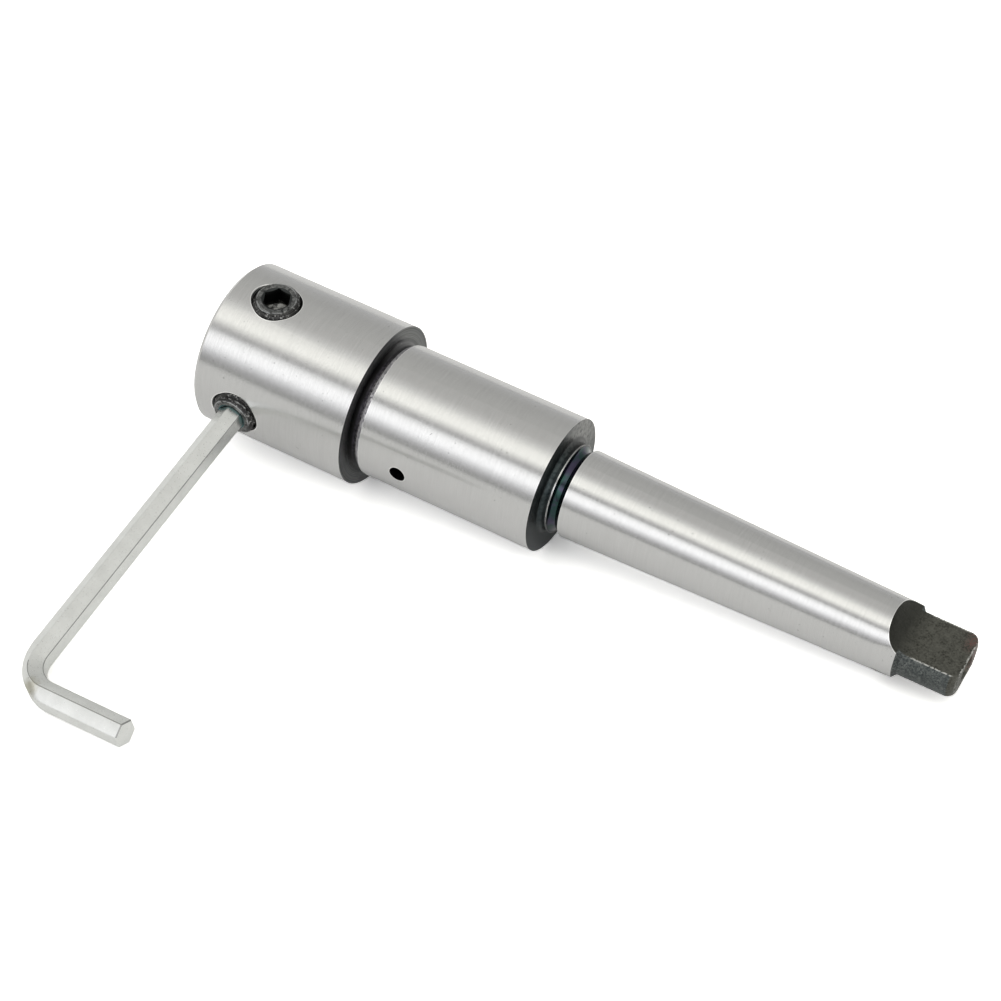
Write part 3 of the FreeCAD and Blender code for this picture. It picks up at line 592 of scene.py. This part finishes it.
def screw_material(name, axis, proud, mouth_colour):
    """Black oxide screw: dark chamfer with painted glints, a broken painted highlight round a greyer
    end face, painted shade deep in the socket.
    """
    material, nodes = new_material(name)
    height, radius = axis_coordinates(nodes, on_arbor(SCREW_STATION, 0, 0), axis)
    point = nodes.add("ShaderNodeTexCoord").outputs["Object"]
    mottle = nodes.noise(point, 900, 4.0, 0.65)
    marks = nodes.noise(nodes.vector(nodes.product(height, 9.0), nodes.product(radius, 9.0), 0.0),
                        1.0, 2.0)
    fine = nodes.noise(point, 2100, 3.0, 0.75)
    flecks = nodes.rescale(fine, 0.55, 0.62)
    top = HEAD_RADIUS + proud
    face_edge = CREST_RADIUS - SCREW_CHAMFER
    spread = nodes.rescale(nodes.math("ADD", mottle, fine), 0.82, 1.18)
    colour = nodes.mix(spread, *SCREW_FACE)
    chamfer = nodes.math("SUBTRACT", 1.0, nodes.rescale(height, top - 0.09, top - 0.03))
    dark = nodes.mix(nodes.rescale(marks, 0.38, 0.62), *SCREW_CONE)
    colour = nodes.mix(chamfer, colour, dark)
    # Painted glints: light flecks on the chamfer where the thread starts
    cone_glints = nodes.product(chamfer, flecks, nodes.rescale(mottle, 0.42, 0.56), 0.8)
    colour = nodes.mix(cone_glints, colour, SCREW_FLECK_GLINT)
    # Painted highlight: a broken bright line round the edge of the end face
    line = nodes.between(radius, face_edge - 0.14, face_edge + 0.05, SOFT)
    broken_highlight = nodes.product(line, nodes.rescale(mottle, 0.42, 0.52), 0.85)
    colour = nodes.mix(broken_highlight, colour, SCREW_EDGE_HIGHLIGHT)
    mouth = nodes.product(nodes.rescale(radius, SOCKET_MOUTH + 0.05, SOCKET_MOUTH - 0.05),
                          nodes.rescale(height, top - 0.01, top - 0.05))
    colour = nodes.mix(mouth, colour, mouth_colour)
    # Painted shade: the socket's walls are painted near-black deeper down
    deep = nodes.product(mouth, nodes.rescale(height, top - 0.5, top - 1.2))
    colour = nodes.mix(deep, colour, SOCKET_WALL_PAINTED_SHADE)
    floor = nodes.product(nodes.rescale(height, top - SOCKET_DEPTH + 0.9, top - SOCKET_DEPTH + 0.1),
                          nodes.rescale(radius, SOCKET_MOUTH + 0.05, SOCKET_MOUTH - 0.05))
    colour = nodes.mix(floor, colour, nodes.mix(nodes.rescale(mottle, 0.40, 0.58), *SOCKET_FLOOR))
    roughness = nodes.blend(chamfer, nodes.rescale(mottle, 0.3, 0.7, 0.26, 0.40), 0.42)
    nodes.surface(nodes.metal(colour, roughness, nodes.bump(mottle, 0.5, 0.00004)))
    return material


def key_material(name, side_place, shade=1.0):
    """Satin plating with faint clouds and scratches, and a stain outside the bend."""
    material, nodes = new_material(name)
    point = nodes.add("ShaderNodeTexCoord").outputs["Object"]
    grain = nodes.noise(point, 2600, 3.0, 0.6)
    clouds = nodes.noise(point, 260, 3.0, 0.6)
    scratches = nodes.rescale(nodes.noise(point, 1500, 1.0), 0.66, 0.74)
    low, high, scratch = [tuple(level * shade for level in colour)
                          for colour in (*PLATING, PLATING_SCRATCH)]
    colour = nodes.mix(nodes.rescale(clouds, 0.35, 0.65), low, high)
    colour = nodes.mix(nodes.product(scratches, 0.12), colour, scratch)
    stain_middle = side_place @ Vector(KEY_STAIN)
    offset = nodes.add("ShaderNodeVectorMath", {0: point, 1: stain_middle}, operation="SUBTRACT")
    distance = nodes.add("ShaderNodeVectorMath", {0: offset.outputs[0]}, operation="LENGTH")
    ragged = nodes.math("MULTIPLY_ADD", nodes.noise(point, 1300, 2.0), 0.0022,
                        distance.outputs["Value"])
    stain = nodes.rescale(ragged, 0.0036, 0.0017)
    colour = nodes.mix(nodes.product(stain, 0.6), colour, PLATING_STAIN)
    roughness = nodes.rescale(grain, 0.3, 0.7, 0.26, 0.36)
    nodes.surface(nodes.metal(colour, roughness, nodes.bump(grain, 0.3, 0.00001)))
    return material


def grid_mesh(name, rows):
    """Mesh of rings of equally many points, each end closed by one face."""
    count = len(rows[0])
    points = [point for row in rows for point in row]
    faces = []
    for row in range(len(rows) - 1):
        low = row * count
        for place in range(count):
            after = (place + 1) % count
            faces.append((low + place, low + after, low + count + after, low + count + place))
    last = (len(rows) - 1) * count
    faces.append(tuple(reversed(range(count))))
    faces.append(tuple(range(last, last + count)))
    mesh = bpy.data.meshes.new(name)
    mesh.from_pydata([tuple(point) for point in points], [], faces)
    mesh.polygons.foreach_set("use_smooth", [True] * len(mesh.polygons))
    mesh.set_sharp_from_angle(angle=math.radians(30))
    mesh.update()
    piece = bpy.data.objects.new(name, mesh)
    bpy.context.scene.collection.objects.link(piece)
    return piece


def thread_radius(height, angle):
    """Radius of a right-hand V thread with flat crests and roots."""
    phase = (height / THREAD_PITCH - angle / (2 * math.pi)) % 1.0
    rise = 1.0 - abs(2.0 * phase - 1.0)
    shape = min(max((rise - 0.12) / 0.70, 0.0), 1.0)
    return ROOT_RADIUS + (CREST_RADIUS - ROOT_RADIUS) * shape


def hexagon_radius(width, angle):
    """Distance from the centre of a hexagon to its edge, a flat facing angle 0."""
    return width / 2 / math.cos((angle + HEX_CORNER) % (math.pi / 3) - math.pi / 6)


def screw_rows():
    """Rings of the screw: point, thread, end face, countersunk mouth, socket and its cone."""
    angles = [2 * math.pi * place / SCREW_STEPS for place in range(SCREW_STEPS)]
    thread_rows = int(SCREW_LENGTH / THREAD_PITCH * ROWS_PER_TURN)
    rows = [[(POINT_RADIUS * 0.05, 0.0)] * SCREW_STEPS]
    for place in range(thread_rows + 1):
        height = SCREW_LENGTH * place / thread_rows
        point_cone = POINT_RADIUS + height * POINT_SLOPE
        end_cone = CREST_RADIUS - SCREW_CHAMFER + (SCREW_LENGTH - height)
        rows.append([(min(thread_radius(height, angle), point_cone, end_cone), height)
                     for angle in angles])
    reach = [hexagon_radius(SOCKET_WIDTH, angle) for angle in angles]
    floor = SCREW_LENGTH - SOCKET_DEPTH
    rows.append([(SOCKET_MOUTH, SCREW_LENGTH)] * SCREW_STEPS)
    rows.append([(side, SCREW_LENGTH - (SOCKET_MOUTH - side) * SOCKET_MOUTH_SLOPE)
                 for side in reach])
    rows.append([(side, floor) for side in reach])
    rows.append([(SOCKET_WIDTH / 2, floor)] * SCREW_STEPS)
    rows.append([(0.05, floor - SOCKET_WIDTH / 2 * SOCKET_CONE_SLOPE)] * SCREW_STEPS)
    return [[(radius * math.cos(angle), radius * math.sin(angle), height)
             for (radius, height), angle in zip(row, angles)] for row in rows]


def axis_frame(axis, turn=0.0):
    """Frame at the screws' station: Z along a screw, X along the arbor but turned about Z."""
    third = axis.normalized()
    second = third.cross(ALONG).normalized()
    first = second.cross(third)
    flat = Matrix((first, second, third)).transposed()
    turned = flat @ Matrix.Rotation(math.radians(turn), 3, "Z")
    place = on_arbor(SCREW_STATION, 0, 0)
    return Matrix.Translation(place) @ turned.to_4x4() @ Matrix.Scale(MM, 4)


def key_frame():
    """The side screw's frame, tipped over about the middle of the socket as the key stands."""
    pivot = Matrix.Translation((0, 0, HEAD_RADIUS + SIDE_SCREW_PROUD - SOCKET_DEPTH / 2))
    over = Matrix.Rotation(math.radians(KEY_TIP_OVER), 4, "X")
    turn = Matrix.Rotation(math.radians(KEY_TURN), 4, "Z")
    return axis_frame(SIDE) @ pivot @ over @ turn @ pivot.inverted()


def make_screw(name, node, body, axis, turn, proud, mouth_colour):
    """Threaded screw in place of a CAD node, standing proud of the head by this much."""
    place = axis_frame(axis, turn)
    shift = Vector((0, 0, HEAD_RADIUS + proud - SCREW_LENGTH))
    rows = [[place @ (Vector(point) + shift) for point in row] for row in screw_rows()]
    piece = grid_mesh(name, rows)
    piece.data.materials.append(screw_material(f"black_oxide_{node}", axis, proud,
                                               mouth_colour))
    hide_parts(node)
    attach(piece, body)


def key_section(width):
    """Hexagon with rounded edges, as pairs of coordinates, a flat facing the first axis."""
    points = []
    centre = width / math.sqrt(3) - KEY_EDGE * 2 / math.sqrt(3)
    for side in range(6):
        angle = HEX_CORNER + side * math.pi / 3
        for step in range(-EDGE_STEPS, EDGE_STEPS + 1):
            turn = angle + math.radians(30) * step / EDGE_STEPS
            points.append((centre * math.cos(angle) + KEY_EDGE * math.cos(turn),
                           centre * math.sin(angle) + KEY_EDGE * math.sin(turn)))
    return points


def bend_radius(inward):
    """Bend radius of a line of the bar: tighter inside, where bending drew the bar thin."""
    return KEY_BEND_MIDDLE + KEY_BEND_SLOPE * inward + KEY_BEND_CURVE * inward ** 2


def key_rows():
    """Rings of the key from its tip, in its own frame, the short arm towards the first axis."""
    small = KEY_WIDTH - 2 * KEY_CHAMFER
    end = KEY_WIDTH - 2 * KEY_END_CHAMFER
    corner = KEY_TIP + KEY_LONG_ARM
    half = math.tan(KEY_BEND_ANGLE / 2)
    rows = []
    for height, width in ((KEY_TIP, small), (KEY_TIP + KEY_CHAMFER, KEY_WIDTH)):
        rows.append([(inward, side, height) for inward, side in key_section(width)])
    for step in range(BEND_STEPS + 1):
        turn = KEY_BEND_ANGLE * step / BEND_STEPS
        row = []
        for inward, side in key_section(KEY_WIDTH):
            radius = bend_radius(inward)
            low = corner - (inward + radius) * half
            across = inward + radius - radius * math.cos(turn)
            row.append((across, side, low + radius * math.sin(turn)))
        rows.append(row)
    sine = math.sin(KEY_BEND_ANGLE)
    cosine = math.cos(KEY_BEND_ANGLE)
    for reach, width in ((KEY_SHORT_ARM - KEY_END_CHAMFER, KEY_WIDTH), (KEY_SHORT_ARM, end)):
        rows.append([(inward * cosine + reach * sine, side, corner - inward * sine + reach * cosine)
                     for inward, side in key_section(width)])
    return rows


def make_key():
    """The key's bar, with painted dark lines along two ridges and round its end."""
    side_place = key_frame()
    rows = [[side_place @ Vector(point) for point in row] for row in key_rows()]
    piece = grid_mesh("hex_key_bar", rows)
    piece.data.materials.append(key_material("satin_plating", side_place))
    ridge_shaded_plating = key_material("satin_plating_painted_ridge_shade", side_place, RIDGE_PAINTED_DARKNESS)
    piece.data.materials.append(ridge_shaded_plating)
    count = len(rows[0])
    short_arm = 2 + BEND_STEPS
    wear_and_shade = [(row, strip) for row in range(1, short_arm + 1) for strip in INNER_RIDGE]
    wear_and_shade += [(row, strip) for row in range(2 + BEND_STEPS // 4, short_arm + 1) for strip in UPPER_RIDGE]
    wear_and_shade += [(short_arm + 1, strip) for strip in END_EDGE]
    # Painted shade: these strips take the darker copy of the plating
    for row, strip in wear_and_shade:
        piece.data.polygons[row * count + strip].material_index = 1
    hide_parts("hex_key")
    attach(piece, "side_screw")


def add_camera():
    """Camera from which the photograph was taken."""
    data = bpy.data.cameras.new("photo_camera")
    data.sensor_width = CAMERA_SENSOR
    data.lens = CAMERA_LENS
    data.clip_start = 0.01
    camera = bpy.data.objects.new("photo_camera", data)
    right = (TURNED @ Vector(CAMERA_RIGHT)).normalized()
    down = (TURNED @ Vector(CAMERA_DOWN)).normalized()
    back = right.cross(-down)
    turned = Matrix((right, -down, back)).transposed()
    x, y, z = CAMERA_PLACE
    camera.matrix_world = Matrix.Translation(on_arbor(x, y, z)) @ turned.to_4x4()
    bpy.context.scene.collection.objects.link(camera)
    bpy.context.scene.camera = camera


def studio_world():
    """White to the camera; to the object, soft strips of light over the bench."""
    world = bpy.data.worlds.new("studio")
    world.use_nodes = True
    bpy.context.scene.world = world
    nodes = Nodes(world.node_tree)
    direction = nodes.add("ShaderNodeTexCoord").outputs["Generated"]
    angle = nodes.math("ARCTAN2", nodes.dot(direction, -ACROSS), nodes.dot(direction, UPPER))
    turn = nodes.rescale(angle, -math.pi, math.pi)
    stops = [((degrees + 180) / 360, [level / RAMP_SCALE for level in colour])
             for degrees, colour in STUDIO]
    ahead = nodes.dot(direction, ALONG)
    front = nodes.rescale(turn, *SIDE_TURNS, RAMP_SCALE * FRONT_FAR_LIGHT,
                          RAMP_SCALE * FRONT_NEAR_LIGHT)
    level = nodes.blend(nodes.rescale(ahead, *FRONT_LEAN), RAMP_SCALE, front)
    level = nodes.blend(nodes.rescale(ahead, *REAR_LEAN), level, RAMP_SCALE * REAR_LIGHT)
    light = nodes.add("ShaderNodeBackground", {"Color": nodes.ramp(turn, stops), "Strength": level})
    white = nodes.add("ShaderNodeBackground", {"Color": (1, 1, 1, 1), "Strength": 1.0})
    seen = nodes.add("ShaderNodeLightPath").outputs["Is Camera Ray"]
    both = nodes.add("ShaderNodeMixShader", {0: seen, 1: light.outputs[0], 2: white.outputs[0]})
    nodes.add("ShaderNodeOutputWorld", {"Surface": both.outputs[0]})


def add_floor():
    """Sheet under the lowest points of the arbor and the key."""
    level = min(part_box(node)[0].z for node in ("arbor_body", "hex_key"))
    mesh = bpy.data.meshes.new("floor")
    reach = FLOOR_REACH
    corners = [(-reach, -reach, level), (reach, -reach, level),
               (reach, reach, level), (-reach, reach, level)]
    mesh.from_pydata(corners, [], [(0, 1, 2, 3)])
    floor = bpy.data.objects.new("floor", mesh)
    bpy.context.scene.collection.objects.link(floor)
    material, nodes = new_material("white_paper")
    seen = nodes.add("ShaderNodeLightPath").outputs["Is Camera Ray"]
    colour = nodes.mix(seen, (FLOOR_COLOUR,) * 3, (FLOOR_SEEN,) * 3)
    nodes.surface(nodes.add("ShaderNodeBsdfDiffuse", {"Color": colour}).outputs[0])
    mesh.materials.append(material)


def dress(node, material):
    """Give a CAD node one material in place of the one it came with."""
    piece = frame["nodes"][node]
    piece.data.materials.clear()
    piece.data.materials.append(material)


inner_steel = plain_metal("turned_steel", (0.42, 0.42, 0.42), (0.52, 0.52, 0.52), (0.3, 0.4), 700)
spring_steel = plain_metal("spring_wire", (0.32, 0.32, 0.33), (0.42, 0.42, 0.42), (0.3, 0.4), 900)
dress("arbor_body", arbor_material())
dress("ejector_plunger", inner_steel)
dress("ejector_spring", spring_steel)
dress("retaining_ring", spring_steel)

make_screw("top_screw_thread", "top_grub_screw", "top_screw", UPPER, TOP_SCREW_TURN,
           TOP_SCREW_PROUD, TOP_SOCKET_MOUTH)
make_screw("side_screw_thread", "side_grub_screw", "side_screw", SIDE, KEY_TURN,
           SIDE_SCREW_PROUD, SIDE_SOCKET_MOUTH)
make_key()

add_floor()
studio_world()
add_camera()
bpy.context.scene.view_settings.view_transform = "Standard"
